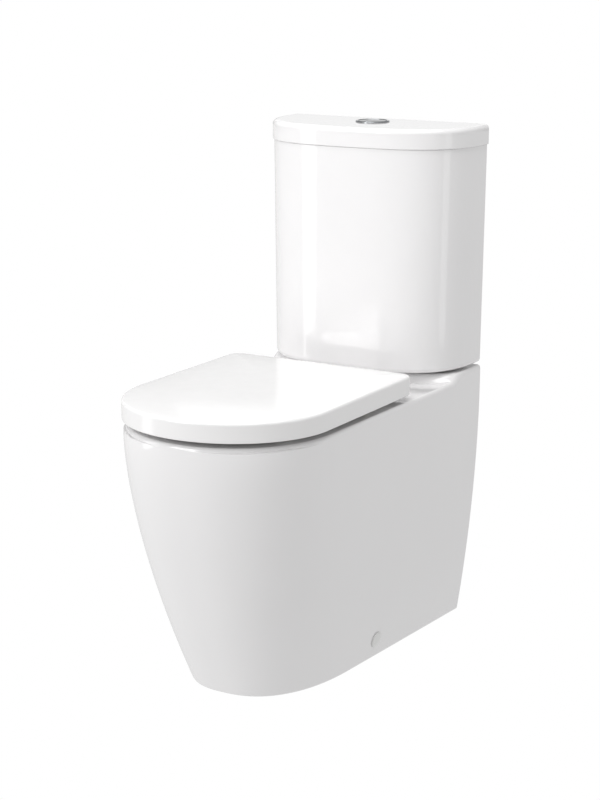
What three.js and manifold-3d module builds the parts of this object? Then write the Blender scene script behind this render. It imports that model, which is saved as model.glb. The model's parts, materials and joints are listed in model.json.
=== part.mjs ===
// Close coupled toilet: a skirted pan against the wall, a D shaped cistern on its platform,
// a wrap-over seat and lid, and the valves, buttons, hinges and fixings inside.
// Millimetres. +Z is up, the floor is z = 0, the wall is the plane y = WALL_Y and the front is -Y.
// "Depth" is the distance forward from the wall.

import * as THREE from "three";
import { mergeVertices } from "three/addons/utils/BufferGeometryUtils.js";
import Module from "manifold-3d";

const wasm = await Module();
wasm.setup();

// ---- Driving dimensions -------------------------------------------------------------------

const WALL_Y = 325;
const GAP = 0.3;

const RIM_Z = 420;
const SLAB_Z = 400;
const PLATFORM_Z = 433;
const SKIRT_WALL = 14;

const TANK_BOTTOM_Z = 437;
const TANK_FLOOR_Z = 451;
const TANK_TOP_Z = 797.7;
const TANK_WALL = 10;
const TANK_LID_Z = 798;
const TANK_LID_TOP_Z = 830;
const TANK_LID_PLATE_Z = 818;

const SEAT_LID_Z = 429;
const SEAT_LID_PLATE_Z = 455.5;
const RING_Z = 430;
const RING_TOP_Z = 447;

const HINGE_DEPTH = 232;
const HINGE_Z = 445;
const HINGE_X = 77.5;
const BARREL_RADIUS = 8.5;
const PIN_RADIUS = 4.5;
const PIN_BORE = PIN_RADIUS + 0.35;

const VALVE_DEPTH = 58;
const FILL_X = -118;
const FILL_DEPTH = 78;
const BOLT_X = 80;

const BUTTON_RADIUS = 22.6;
const BUTTON_SPLIT_X = -4;
const ROD_X = 10;

const BRACKET_DEPTH = 276;
const BRACKET_Z = 31;
const CAP_RADIUS = 13;

const SIDE_STEPS = 3;
const NOSE_STEPS = 18;
const CORNER_STEPS = 2;
const OVAL_STEPS = 24;

// ---- Materials ----------------------------------------------------------------------------

const material = (color, roughness, metalness = 0) =>
  new THREE.MeshStandardMaterial({ color, roughness, metalness });

const CERAMIC = material(0xf1f1ef, 0.08);
const SEAT_PLASTIC = material(0xf4f4f3, 0.18);
const CAP_PLASTIC = material(0xeeeeec, 0.25);
const CHROME = material(0xb9bcbd, 0.08, 1);
const STEEL = material(0xa9abad, 0.35, 1);
const BRASS = material(0xb48e4a, 0.35, 1);
const VALVE_WHITE = material(0xdedfdc, 0.5);
const VALVE_GREY = material(0x7d8387, 0.55);
const VALVE_BLUE = material(0x3f6f9c, 0.5);
const RUBBER = material(0x1d1d1f, 0.85);
const CLEAR_RUBBER = material(0xd9d9d4, 0.6);

// ---- Solids -------------------------------------------------------------------------------

const yOf = (depth) => WALL_Y - depth;

// The triangles that still have three different corners once vertices are merged.
function withoutSlivers(indices) {
  const kept = [];
  for (let i = 0; i < indices.length; i += 3) {
    const [a, b, c] = indices.slice(i, i + 3);
    if (a !== b && b !== c && c !== a) {
      kept.push(a, b, c);
    }
  }
  return kept;
}

function toSolid(geometry) {
  const bare = geometry.clone();
  bare.deleteAttribute("normal");
  bare.deleteAttribute("uv");
  const merged = mergeVertices(bare, 1e-4);
  const build = (triVerts) => new wasm.Manifold(new wasm.Mesh({
    numProp: 3,
    vertProperties: new Float32Array(merged.attributes.position.array),
    triVerts,
  }));
  const faces = new Uint32Array(withoutSlivers(merged.index.array));
  const solid = build(faces);
  return solid.volume() > 0 ? solid : build(faces.reverse());
}

function toGeometry(solid) {
  const mesh = solid.getMesh();
  const geometry = new THREE.BufferGeometry();
  geometry.setAttribute("position", new THREE.BufferAttribute(mesh.vertProperties, 3));
  geometry.setIndex(new THREE.BufferAttribute(mesh.triVerts, 1));
  geometry.computeVertexNormals();
  return geometry;
}

const join = (...solids) => solids.reduce((sum, solid) => sum.add(solid));
const cut = (body, ...tools) => tools.reduce((rest, tool) => rest.subtract(tool), body);

function block([x0, x1], [y0, y1], [z0, z1]) {
  const geometry = new THREE.BoxGeometry(x1 - x0, y1 - y0, z1 - z0);
  geometry.translate((x0 + x1) / 2, (y0 + y1) / 2, (z0 + z1) / 2);
  return toSolid(geometry);
}

function rodZ(radius, z0, z1, x = 0, y = 0, sides = 16) {
  const geometry = new THREE.CylinderGeometry(radius, radius, z1 - z0, sides);
  geometry.rotateX(Math.PI / 2);
  geometry.translate(x, y, (z0 + z1) / 2);
  return toSolid(geometry);
}

function rodX(radius, x0, x1, y = 0, z = 0, sides = 16) {
  const geometry = new THREE.CylinderGeometry(radius, radius, x1 - x0, sides);
  geometry.rotateZ(Math.PI / 2);
  geometry.translate((x0 + x1) / 2, y, z);
  return toSolid(geometry);
}

function rodY(radius, y0, y1, x = 0, z = 0, sides = 12) {
  const geometry = new THREE.CylinderGeometry(radius, radius, y1 - y0, sides);
  geometry.translate(x, (y0 + y1) / 2, z);
  return toSolid(geometry);
}

// A turned piece about Z from its [radius, z] profile, which closes on itself.
function turned(profile, sides = 16) {
  const points = [...profile, profile[0]].map(([r, z]) => new THREE.Vector2(r, z));
  const geometry = new THREE.LatheGeometry(points, sides);
  geometry.rotateX(Math.PI / 2);
  return toSolid(geometry);
}

const washer = (inner, outer, z0, z1, sides = 16) =>
  turned([[inner, z0], [outer, z0], [outer, z1], [inner, z1]], sides);

// A hexagonal prism about Z with a round bore.
const hexNut = (inner, outer, z0, z1) =>
  cut(rodZ(outer, z0, z1, 0, 0, 6), rodZ(inner, z0 - 1, z1 + 1));

// A round bar that follows a smooth path in the plane x = 0, through [depth, z] points.
function sweep(path, radius, steps = 14, sides = 12) {
  const points = path.map(([depth, z]) => new THREE.Vector3(0, yOf(depth), z));
  const section = new THREE.Shape();
  section.absarc(0, 0, radius, 0, 2 * Math.PI);
  return toSolid(new THREE.ExtrudeGeometry(section, {
    steps,
    curveSegments: sides / 2,
    extrudePath: new THREE.CatmullRomCurve3(points, false, "centripetal"),
  }));
}

// ---- Plan outlines and lofts --------------------------------------------------------------

// A closed plan outline, counterclockwise from above: a straight back with round corners,
// straight sides that draw in by `taper` over the depth, and a superellipse nose.
function planOutline(shape, inset = 0) {
  const { halfWidth, depth, nose, power, taper = 0, back = 0, corner = 2, backInset = 0 } = shape;
  const width = halfWidth - inset;
  const start = back + backInset * inset;
  const centre = depth - nose;
  const turn = Math.max(corner - inset, 0.5);
  const place = (x, d) => new THREE.Vector2(x * (1 - taper * d / depth), yOf(d));
  const side = [];
  for (let i = 0; i <= CORNER_STEPS; i++) {
    const angle = Math.PI / 2 * i / CORNER_STEPS;
    side.push([width - turn + turn * Math.sin(angle), start + turn - turn * Math.cos(angle)]);
  }
  for (let i = 1; i < SIDE_STEPS; i++) {
    side.push([width, start + turn + (centre - start - turn) * i / SIDE_STEPS]);
  }
  const left = side.map(([x, d]) => place(-x, d));
  const right = side.map(([x, d]) => place(x, d)).reverse();
  const front = [];
  for (let i = 0; i <= NOSE_STEPS; i++) {
    const c = Math.cos(Math.PI * i / NOSE_STEPS);
    const s = Math.sin(Math.PI * i / NOSE_STEPS);
    const x = -width * Math.sign(c) * Math.abs(c) ** (2 / power);
    front.push(place(x, centre + (nose - inset) * s ** (2 / power)));
  }
  return [...left, ...front, ...right];
}

function oval({ halfWidth, halfLength, centre, power = 2.15 }) {
  const points = [];
  for (let i = 0; i < OVAL_STEPS; i++) {
    const c = Math.cos(2 * Math.PI * i / OVAL_STEPS);
    const s = Math.sin(2 * Math.PI * i / OVAL_STEPS);
    const x = halfWidth * Math.sign(c) * Math.abs(c) ** (2 / power);
    const d = centre - halfLength * Math.sign(s) * Math.abs(s) ** (2 / power);
    points.push(new THREE.Vector2(x, yOf(d)));
  }
  return points;
}

// Skins a run of outlines, given as [outline, z], and closes both ends with a strip that
// zigzags from side to side. The run may turn back on itself to form a wall with two faces.
function loft(rings) {
  const count = rings[0][0].length;
  const positions = rings.flatMap(([outline, z]) => outline.flatMap((p) => [p.x, p.y, z]));
  const indices = [];
  for (let level = 0; level + 1 < rings.length; level++) {
    for (let i = 0; i < count; i++) {
      const a = level * count + i;
      const b = level * count + (i + 1) % count;
      indices.push(a, b, b + count, a, b + count, a + count);
    }
  }
  for (const [level, up] of [[0, false], [rings.length - 1, true]]) {
    const first = level * count;
    for (let i = 1; i < count - 1; i++) {
      const near = first + Math.floor(i / 2);
      const far = first + count - Math.ceil(i / 2);
      const corners = i % 2 ? [near, near + 1, far] : [near, far - 1, far];
      indices.push(...(up ? corners : corners.reverse()));
    }
  }
  const geometry = new THREE.BufferGeometry();
  geometry.setAttribute("position", new THREE.Float32BufferAttribute(positions, 3));
  geometry.setIndex(indices);
  return toSolid(geometry);
}

// One family of outlines, with levels given as [z, inset], and its loft.
const family = (shapeAt, levels) =>
  levels.map(([z, inset]) => [planOutline(shapeAt(z), inset), z]);

const stack = (shapeAt, levels) => loft(family(shapeAt, levels));

// ---- Shapes of the four big outlines ------------------------------------------------------

function panShape(z) {
  const drop = Math.max(0, (RIM_Z - z) / RIM_Z);
  return {
    halfWidth: 176.1 - 34.5 * drop ** 1.925,
    depth: 645.5 - 121.8 * drop ** 1.624,
    nose: 160.6 + 22.8 * drop ** 1.274,
    power: 2.03 + 0.466 * drop ** 0.273,
    taper: 0.083 + 0.13 * drop,
  };
}

const platformShape = () => ({ halfWidth: 190, depth: 131, nose: 126, power: 2.8, back: -20 });

function tankShape(z) {
  const rise = (z - TANK_BOTTOM_Z) / (TANK_TOP_Z - TANK_BOTTOM_Z);
  return { halfWidth: 175.2 + 4.7 * rise, depth: 156, nose: 148, power: 2.82, corner: 3 };
}

const tankLidShape = () => ({ halfWidth: 182.5, depth: 157.5, nose: 149.5, power: 2.82, corner: 3 });

const seatShape = () => ({
  halfWidth: 166.4, depth: 650, nose: 156.7, power: 2.03, back: 221, corner: 22, backInset: 1,
});

const ringShape = () => ({
  halfWidth: 160, depth: 643.5, nose: 150, power: 2.03, back: 250, corner: 20, backInset: 1,
});

// Bowl sections from the sump to the rim, as [z, half width, half length, centre depth].
const BOWL = [
  [84, 33, 34, 376],
  [96, 41, 44, 378],
  [150, 47, 52, 384],
  [195, 56, 74, 396],
  [240, 79, 106, 412],
  [290, 101, 136, 426],
  [345, 116, 157, 434],
  [400, 121, 163, 437],
];
const BOWL_WALL = 12;

const TRAP = [[372, 122], [335, 119], [302, 134], [284, 162], [276, 193], [260, 220], [233, 236],
  [202, 236], [176, 222], [150, 203], [115, 189], [80, 185], [20, 185]];
const TRAP_RADIUS = 36;
const TRAP_WALL = 12;

const FLUSH_CHANNEL = [[VALVE_DEPTH, 412], [VALVE_DEPTH + 2, 392], [85, 375], [130, 371],
  [200, 372], [262, 380], [292, 383]];

// ---- Pan ----------------------------------------------------------------------------------

function bowlSolid(extra, levels) {
  return loft(levels.map(([z, halfWidth, halfLength, centre]) => [
    oval({ halfWidth: halfWidth + extra, halfLength: halfLength + extra, centre }), z,
  ]));
}

// The fixing's axis: square to the skirt, which leans out and draws in towards the front.
function fixingFrame(side) {
  const frame = new THREE.Group();
  const d = BRACKET_DEPTH;
  const shape = panShape(BRACKET_Z);
  const above = panShape(BRACKET_Z + 10);
  const x = shape.halfWidth * (1 - shape.taper * d / shape.depth);
  const xAbove = above.halfWidth * (1 - above.taper * d / above.depth);
  frame.position.set(side * x, yOf(d), BRACKET_Z);
  const lean = Math.atan((xAbove - x) / 10);
  const draw = Math.atan(shape.halfWidth * shape.taper / shape.depth);
  frame.rotation.set(0, side > 0 ? lean : Math.PI - lean, 0, "ZYX");
  frame.rotation.z = -side * draw;
  frame.updateMatrix();
  return frame;
}

function inFrame(solid, frame) {
  const geometry = toGeometry(solid);
  geometry.applyMatrix4(frame.matrix);
  return toSolid(geometry);
}

function makePan() {
  const skirtLevels = [0, 60, 125, 195, 270, 345, 413];
  const outside = stack(panShape, [[0, 2], [3, 0], ...skirtLevels.slice(1).map((z) => [z, 0]),
    [416.8, 1], [419.2, 3], [420, 6]]);
  const tall = stack(panShape, [[380, 0], [428, 0], [431.5, 1.5], [PLATFORM_Z, 4]]);
  const platform = stack(platformShape, [[SLAB_Z + 5, -13], [RIM_Z, -13], [421.2, -8], [423.5, -3.8],
    [427.5, 0], [431, 1.4], [PLATFORM_Z, 4.5]]).intersect(tall);
  const openBack = (z) => ({ ...panShape(z), back: -20 });
  const hollow = stack(openBack, [-5, ...skirtLevels.slice(1, -1), SLAB_Z].map((z) => [z, SKIRT_WALL]));
  const passage = sweep([[TRAP[0][0] + 20, TRAP[0][1] + 8], ...TRAP, [-10, 185]], TRAP_RADIUS);
  const lip = [[412, 121.5, 163.5, 437], [417.5, 123.5, 165.5, 437], [RIM_Z + 0.5, 129, 171, 437]];
  const shell = bowlSolid(BOWL_WALL, [[BOWL[0][0] - BOWL_WALL, 26, 27, 376], ...BOWL.slice(1),
    [SLAB_Z + 5, 121, 163, 437]]);
  let pan = cut(join(outside, platform), hollow);
  pan = join(pan, shell, sweep(TRAP, TRAP_RADIUS + TRAP_WALL), sweep(FLUSH_CHANNEL, 31));
  pan = cut(pan,
    bowlSolid(0, [...BOWL, ...lip]),
    passage,
    sweep([...FLUSH_CHANNEL, [320, 384]], 20),
    rodZ(46, 415, 460, 0, yOf(VALVE_DEPTH), 32),
    rodZ(23, 400, 420, 0, yOf(VALVE_DEPTH)),
    rodZ(22, 380, 460, FILL_X, yOf(FILL_DEPTH)));
  for (const side of [-1, 1]) {
    pan = cut(pan,
      rodZ(5.5, 380, 460, side * BOLT_X, yOf(VALVE_DEPTH)),
      rodZ(6, 380, 430, side * HINGE_X, yOf(HINGE_DEPTH)),
      inFrame(join(rodX(4.2, -40, 5), rodX(9.5, -8, 5)), fixingFrame(side)));
  }
  return pan;
}

// ---- Cistern ------------------------------------------------------------------------------

function makeTank() {
  const innerShape = (z) => ({ ...tankShape(z), nose: 126, backInset: 1, corner: 24 });
  const tank = loft([
    ...family(tankShape, [[TANK_BOTTOM_Z, 8], [438.5, 4.5], [441.5, 1.6], [446, 0], [TANK_TOP_Z, 0]]),
    ...family(innerShape, [[TANK_TOP_Z, TANK_WALL], [457, TANK_WALL], [TANK_FLOOR_Z, TANK_WALL + 6]]),
  ]);
  return cut(tank,
    rodZ(30, 430, 460, 0, yOf(VALVE_DEPTH), 18),
    rodZ(11, 430, 460, FILL_X, yOf(FILL_DEPTH)),
    rodZ(5.5, 430, 460, -BOLT_X, yOf(VALVE_DEPTH)),
    rodZ(5.5, 430, 460, BOLT_X, yOf(VALVE_DEPTH)));
}

function makeTankLid() {
  const lipShape = () => ({ ...tankLidShape(), nose: 127.5, backInset: 1, corner: 20 });
  const lid = loft([
    ...family(lipShape, [[TANK_LID_PLATE_Z, 19], [790, 19], [790, 15.5], [TANK_LID_Z, 15]]),
    ...family(tankLidShape, [[TANK_LID_Z, 1], [799.2, 0], [822, 0], [826.4, 1.7], [829, 4.6], [TANK_LID_TOP_Z, 8.6]]),
  ]);
  return cut(lid, rodZ(25.8, 800, 840, 0, yOf(VALVE_DEPTH), 24));
}

// ---- Seat and lid -------------------------------------------------------------------------

const bothSides = (x0, x1) => [[x0, x1], [-x1, -x0]];

function makeSeatLid() {
  let lid = stack(seatShape, [[SEAT_LID_PLATE_Z, 4], [SEAT_LID_Z, 4], [SEAT_LID_Z, 1.2], [430.2, 0],
    [454.8, 0], [457.2, 0.8], [458.6, 2.6], [459.3, 6], [460.6, 25], [462.3, 70], [463, 120]]);
  for (const [x0, x1] of bothSides(91, 138)) {
    const web = block([x0, x1], [yOf(HINGE_DEPTH + 5), yOf(222)], [HINGE_Z, SEAT_LID_PLATE_Z + 0.5]);
    const bore = rodX(PIN_BORE, x0 - 1, x1 + 1, yOf(HINGE_DEPTH), HINGE_Z);
    const pocket = rodX(6.85, Math.min(Math.abs(x0), Math.abs(x1)) + 15.2, 139, 0, 0);
    const placed = toGeometry(pocket);
    if (x0 < 0) {
      placed.rotateZ(Math.PI);
    }
    placed.translate(0, yOf(HINGE_DEPTH), HINGE_Z);
    const boss = rodX(BARREL_RADIUS, x0, x1, yOf(HINGE_DEPTH), HINGE_Z);
    lid = cut(join(lid, web, boss), bore, toSolid(placed));
  }
  for (const [x0, x1] of bothSides(49, 90.6)) {
    lid = cut(lid, block([x0, x1], [yOf(245), yOf(215)], [SEAT_LID_Z - 5, SEAT_LID_PLATE_Z - 0.6]));
  }
  return lid;
}

function makeSeatRing() {
  let ring = stack(ringShape, [[RING_Z, 1.5], [431.5, 0], [442, 0], [445.5, 2], [RING_TOP_Z, 7]]);
  for (const [x0, x1] of bothSides(50, 64.8)) {
    const arm = block([x0, x1], [yOf(262), yOf(HINGE_DEPTH)], [HINGE_Z - 7, RING_TOP_Z - 1.5]);
    const bore = rodX(PIN_BORE, x0 - 1, x1 + 1, yOf(HINGE_DEPTH), HINGE_Z);
    ring = cut(join(ring, arm, rodX(BARREL_RADIUS, x0, x1, yOf(HINGE_DEPTH), HINGE_Z)), bore);
  }
  const mouth = [[RING_Z - 3, 108, 150], [438, 108, 150], [443, 110, 152], [RING_TOP_Z + 1, 119, 161]];
  return cut(ring, loft(mouth.map(([z, halfWidth, halfLength]) => [
    oval({ halfWidth, halfLength, centre: 444 }), z,
  ])));
}

// A soft pad with round ends, long in X.
function buffer(length, width, z0, z1) {
  const end = (length - width) / 2;
  const middle = block([-end, end], [-width / 2, width / 2], [z0, z1]);
  return join(middle, rodZ(width / 2, z0, z1, -end), rodZ(width / 2, z0, z1, end));
}

function hingeParts(side) {
  const name = side < 0 ? "left" : "right";
  const hinge = new THREE.Group();
  hinge.position.set(side * HINGE_X, yOf(HINGE_DEPTH), 0);
  const base = turned([[0, RIM_Z + GAP], [18, RIM_Z + GAP], [18, 423], [16, 424.6], [0, 424.6]]);
  const post = join(block([-12, 12], [-8, 8], [423, HINGE_Z]),
    rodX(BARREL_RADIUS, -12, 12, 0, HINGE_Z));
  const pillar = cut(join(base, post), rodX(PIN_BORE, -13, 13, 0, HINGE_Z),
    rodZ(4.35, RIM_Z - 1, 438));
  hinge.add(part(`hinge_pillar_${name}`, pillar, CHROME));
  hinge.add(part(`hinge_pin_${name}`, rodX(PIN_RADIUS, -27.5, 28, 0, HINGE_Z), STEEL));
  const stud = join(rodZ(4, 384, 437.5), rodZ(2.5, 382, 385));
  hinge.add(part(`hinge_stud_${name}`, stud, STEEL));
  const nut = cut(join(rodZ(9, 386, SLAB_Z - GAP), block([-16, 16], [-2.5, 2.5], [386, 394])),
    rodZ(4.35, 380, 405));
  hinge.add(part(`hinge_nut_${name}`, nut, VALVE_WHITE));
  const damper = join(rodX(6.5, 29.2, 58, 0, HINGE_Z), rodX(4.8, 57, 60, 0, HINGE_Z));
  hinge.add(part(`hinge_damper_${name}`, damper, VALVE_GREY));
  if (side < 0) {
    hinge.children.forEach((piece) => piece.geometry.rotateZ(Math.PI));
  }
  return hinge;
}

function seatBuffers() {
  const pads = new THREE.Group();
  const spots = { front_left: [-118, 540], front_right: [118, 540], rear_left: [-132, 330], rear_right: [132, 330] };
  for (const [place, [x, depth]] of Object.entries(spots)) {
    const pad = part(`ring_buffer_${place}`, buffer(24, 12, RIM_Z + GAP, RING_Z - GAP), CLEAR_RUBBER);
    pad.position.set(x, yOf(depth), 0);
    pads.add(pad);
  }
  for (const side of [-1, 1]) {
    const name = `lid_buffer_${side < 0 ? "left" : "right"}`;
    const pad = part(name, buffer(16, 9, RING_TOP_Z + 2 * GAP, SEAT_LID_PLATE_Z - GAP), CLEAR_RUBBER);
    pad.position.set(side * 134, yOf(400), 0);
    pads.add(pad);
  }
  return pads;
}

// ---- Flush valve, about its own axis ------------------------------------------------------

function flushValve() {
  const valve = new THREE.Group();
  valve.position.y = yOf(VALVE_DEPTH);
  const base = turned([[21, 419], [27, 419], [27, 453.4], [38, 453.4], [38, 458], [26, 458],
    [26, 464], [21, 464]]);
  valve.add(part("flush_valve_base", base, VALVE_WHITE));
  valve.add(part("flush_valve_seal_washer", washer(27.4, 36, TANK_FLOOR_Z + GAP, 453.1), RUBBER));
  valve.add(part("flush_valve_back_nut", hexNut(27.4, 36, 421, 436.6), VALVE_GREY));
  const gasket = turned([[24, 415.3], [45, 415.3], [45, 436.7], [37.5, 436.7], [37.5, 418.6],
    [24, 418.6]]);
  valve.add(part("tank_gasket", gasket, RUBBER));
  let cage = washer(29, 33, 458.3, 736);
  for (const z of [468, 556, 644]) {
    for (let i = 0; i < 3; i++) {
      const window = toGeometry(block([20, 40], [-15, 15], [z, z + 74]));
      window.rotateZ(2 * Math.PI * i / 3 + Math.PI / 6);
      cage = cut(cage, toSolid(window));
    }
  }
  valve.add(part("flush_valve_cage", cage, VALVE_WHITE));
  const head = cut(turned([[0, 736.3], [33, 736.3], [33, 752], [29, 757], [0, 757]]),
    rodZ(4.6, 730, 760, ROD_X), rodZ(4.6, 730, 760, -ROD_X - 3));
  valve.add(part("flush_valve_head", head, VALVE_BLUE));
  const stem = join(washer(9.8, 12, 468, 712), washer(9.8, 24, 467.6, 471));
  valve.add(part("flush_stem", stem, VALVE_GREY));
  valve.add(part("flush_seal", washer(10, 25.5, 464.4, 467.3), RUBBER));
  valve.add(part("half_flush_float", washer(12.4, 22, 560, 590), VALVE_BLUE));
  return valve;
}

// ---- Fill valve, about its own axis -------------------------------------------------------

function fillValve() {
  const valve = new THREE.Group();
  valve.position.set(FILL_X, yOf(FILL_DEPTH), 0);
  const column = join(rodZ(9, 385, 745), rodZ(17, 454.3, 458), rodZ(11, 732, 752),
    rodY(2, -17.5, -5, -8, 744));
  const body = cut(column, rodZ(5, 380, 740), block([4, 12], [-4, 4], [462, 474]));
  valve.add(part("fill_valve_body", body, VALVE_WHITE));
  valve.add(part("fill_valve_seal_washer", washer(9.4, 16, TANK_FLOOR_Z + GAP, 454), RUBBER));
  valve.add(part("fill_valve_lock_nut", hexNut(9.4, 16, 424, 436.6), BRASS));
  const cap = turned([[0, 752.3], [12.5, 752.3], [12.5, 757], [9, 760], [0, 760]]);
  valve.add(part("fill_valve_cap", cap, VALVE_BLUE));
  const float = cut(washer(9.8, 27, 640, 680), washer(13, 24, 630, 675));
  valve.add(part("fill_valve_float", float, VALVE_GREY));
  valve.add(part("fill_valve_link", rodZ(1.8, 680.3, 740.9, 19, -14, 12), VALVE_WHITE));
  const arm = cut(join(block([-8, 23], [-16, -12], [742, 746]), rodY(4, -16, -12, -8, 744),
    block([-28, -8], [-16, -12], [739, 749])), rodY(2.35, -18, -10, -8, 744));
  valve.add(part("fill_valve_arm", arm, VALVE_BLUE));
  return valve;
}

// ---- Flush buttons in the cistern lid -----------------------------------------------------

function buttonTop(fromX, toX) {
  const dome = turned([[0, 821], [BUTTON_RADIUS, 821], [BUTTON_RADIUS, 830.6],
    [BUTTON_RADIUS - 1.2, 831.6], [13, 832.5], [0, 832.9]], 24);
  return dome.intersect(block([fromX, toX], [-30, 30], [800, 840]));
}

function flushButtons() {
  const buttons = new THREE.Group();
  buttons.position.y = yOf(VALVE_DEPTH);
  const bezel = turned([[23.1, 803], [25.4, 803], [25.4, 830.3], [27.8, 830.3], [27.8, 831],
    [26.4, 832.2], [24, 832.2], [23.1, 831.2]], 24);
  buttons.add(part("button_bezel", bezel, CHROME));
  const lockNut = washer(25.8, 31, 808, TANK_LID_PLATE_Z - GAP, 24);
  buttons.add(part("bezel_lock_nut", lockNut, VALVE_WHITE));
  const full = join(buttonTop(BUTTON_SPLIT_X + 0.35, 30), rodZ(2.5, 745, 822, ROD_X, 0, 12));
  buttons.add(part("full_flush_button", full, CHROME));
  const half = join(buttonTop(-30, BUTTON_SPLIT_X - 0.35), rodZ(2.5, 745, 822, -ROD_X - 3, 0, 12));
  buttons.add(part("half_flush_button", half, CHROME));
  return buttons;
}

// ---- Fixings ------------------------------------------------------------------------------

function tankFixings(side) {
  const name = side < 0 ? "left" : "right";
  const fixing = new THREE.Group();
  fixing.position.set(side * BOLT_X, yOf(VALVE_DEPTH), 0);
  const bolt = join(rodZ(4, 378, 455.5), rodZ(7.5, 454.9, 461, 0, 0, 6));
  fixing.add(part(`coupling_bolt_${name}`, bolt, BRASS));
  fixing.add(part(`coupling_rubber_washer_${name}`, washer(4.4, 13, TANK_FLOOR_Z + GAP, 454.5), RUBBER));
  fixing.add(part(`coupling_metal_washer_${name}`, washer(4.4, 12, 397.2, SLAB_Z - GAP), STEEL));
  const wings = block([-17, 17], [-2.5, 2.5], [384, 393]);
  const nut = cut(join(rodZ(8.5, 384, 396.9), wings), rodZ(4.4, 380, 400));
  fixing.add(part(`coupling_wing_nut_${name}`, nut, BRASS));
  return fixing;
}

function floorFixings(side) {
  const name = side < 0 ? "left" : "right";
  const fixings = new THREE.Group();
  const frame = fixingFrame(side);
  const cap = turned([[0, 0], [CAP_RADIUS, 0], [CAP_RADIUS, 1.4], [10.5, 2.9], [6, 3.7], [0, 4]]);
  const capGeometry = toGeometry(join(cap, rodZ(8.8, -2.4, 0.5)));
  capGeometry.rotateY(Math.PI / 2);
  capGeometry.translate(GAP + 0.1, 0, 0);
  const capMesh = new THREE.Mesh(capGeometry, CAP_PLASTIC);
  capMesh.name = `fixing_cap_${name}`;
  const screw = join(rodX(3, -36, -5, 0, 0, 12), rodX(6.5, -7.6, -3.4));
  frame.add(capMesh, part(`bracket_screw_${name}`, screw, STEEL));
  const inner = frame.position.x - side * 17.5;
  const upright = [inner - side * 6, inner - side * 1.5].sort((a, b) => a - b);
  const foot = [inner - side * 46, inner - side * 1.5].sort((a, b) => a - b);
  const y = [yOf(BRACKET_DEPTH + 18), yOf(BRACKET_DEPTH - 18)];
  const plate = join(block(upright, y, [0, 52]), block(foot, y, [0, 4]));
  const hole = inFrame(rodX(3.5, -60, 5), frame);
  const boltX = inner - side * 30;
  const bracket = cut(plate, hole, rodZ(4.4, -2, 6, boltX, yOf(BRACKET_DEPTH)));
  fixings.add(frame, part(`floor_bracket_${name}`, bracket, STEEL));
  const bolt = join(rodZ(4, GAP, 5), rodZ(8, 4.3, 9.5, 0, 0, 6));
  const boltMesh = part(`floor_bolt_${name}`, bolt, STEEL);
  boltMesh.position.set(boltX, yOf(BRACKET_DEPTH), 0);
  fixings.add(boltMesh);
  return fixings;
}

// A rubber connector over the end of the outlet.
function outletSleeve() {
  const outer = TRAP_RADIUS + TRAP_WALL;
  const sleeve = toGeometry(turned([[outer + GAP, 0], [outer + 6, 0], [outer + 6, 8], [outer + 4, 10],
    [outer + 4, 34], [outer + GAP, 34]], 24));
  sleeve.rotateX(Math.PI / 2);
  sleeve.translate(0, WALL_Y - 8, 185);
  return toSolid(sleeve);
}

// ---- Assembly -----------------------------------------------------------------------------

function part(name, solid, look) {
  const mesh = new THREE.Mesh(toGeometry(solid), look);
  mesh.name = name;
  return mesh;
}

const toilet = new THREE.Group();
toilet.add(part("pan", makePan(), CERAMIC));
toilet.add(part("outlet_sleeve", outletSleeve(), RUBBER));
toilet.add(part("cistern", makeTank(), CERAMIC));
toilet.add(part("cistern_lid", makeTankLid(), CERAMIC));
toilet.add(part("seat_lid", makeSeatLid(), SEAT_PLASTIC));
toilet.add(part("seat_ring", makeSeatRing(), SEAT_PLASTIC));
toilet.add(seatBuffers());
toilet.add(flushValve());
toilet.add(fillValve());
toilet.add(flushButtons());
for (const side of [-1, 1]) {
  toilet.add(hingeParts(side));
  toilet.add(tankFixings(side));
  toilet.add(floorFixings(side));
}

export default toilet;
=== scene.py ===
"""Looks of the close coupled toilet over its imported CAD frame. +Z is up and the wall is at +Y.

Outlines are worked out in millimetres, as (x, depth from the wall, z), with the same formulas as the
CAD part, and placed in metres in the frame.
"""

import json
import math

import bmesh
import bpy
import numpy as np
from mathutils import Matrix, Vector


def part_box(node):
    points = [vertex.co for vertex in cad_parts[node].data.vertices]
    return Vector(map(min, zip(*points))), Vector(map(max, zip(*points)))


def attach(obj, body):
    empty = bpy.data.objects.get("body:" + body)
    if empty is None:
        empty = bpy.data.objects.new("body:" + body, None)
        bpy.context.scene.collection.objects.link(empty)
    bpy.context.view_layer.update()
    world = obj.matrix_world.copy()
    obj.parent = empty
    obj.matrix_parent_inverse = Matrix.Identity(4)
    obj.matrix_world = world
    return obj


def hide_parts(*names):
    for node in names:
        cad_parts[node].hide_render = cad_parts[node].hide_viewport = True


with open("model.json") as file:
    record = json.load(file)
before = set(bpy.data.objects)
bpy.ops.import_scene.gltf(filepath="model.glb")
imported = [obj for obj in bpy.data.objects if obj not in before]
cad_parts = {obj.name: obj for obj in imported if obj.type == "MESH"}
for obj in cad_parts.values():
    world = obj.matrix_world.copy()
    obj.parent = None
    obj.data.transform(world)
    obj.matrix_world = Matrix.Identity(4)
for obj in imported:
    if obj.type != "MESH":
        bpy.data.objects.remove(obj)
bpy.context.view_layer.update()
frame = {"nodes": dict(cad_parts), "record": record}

# ---- Driving dimensions, in millimetres ---------------------------------------------------

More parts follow.
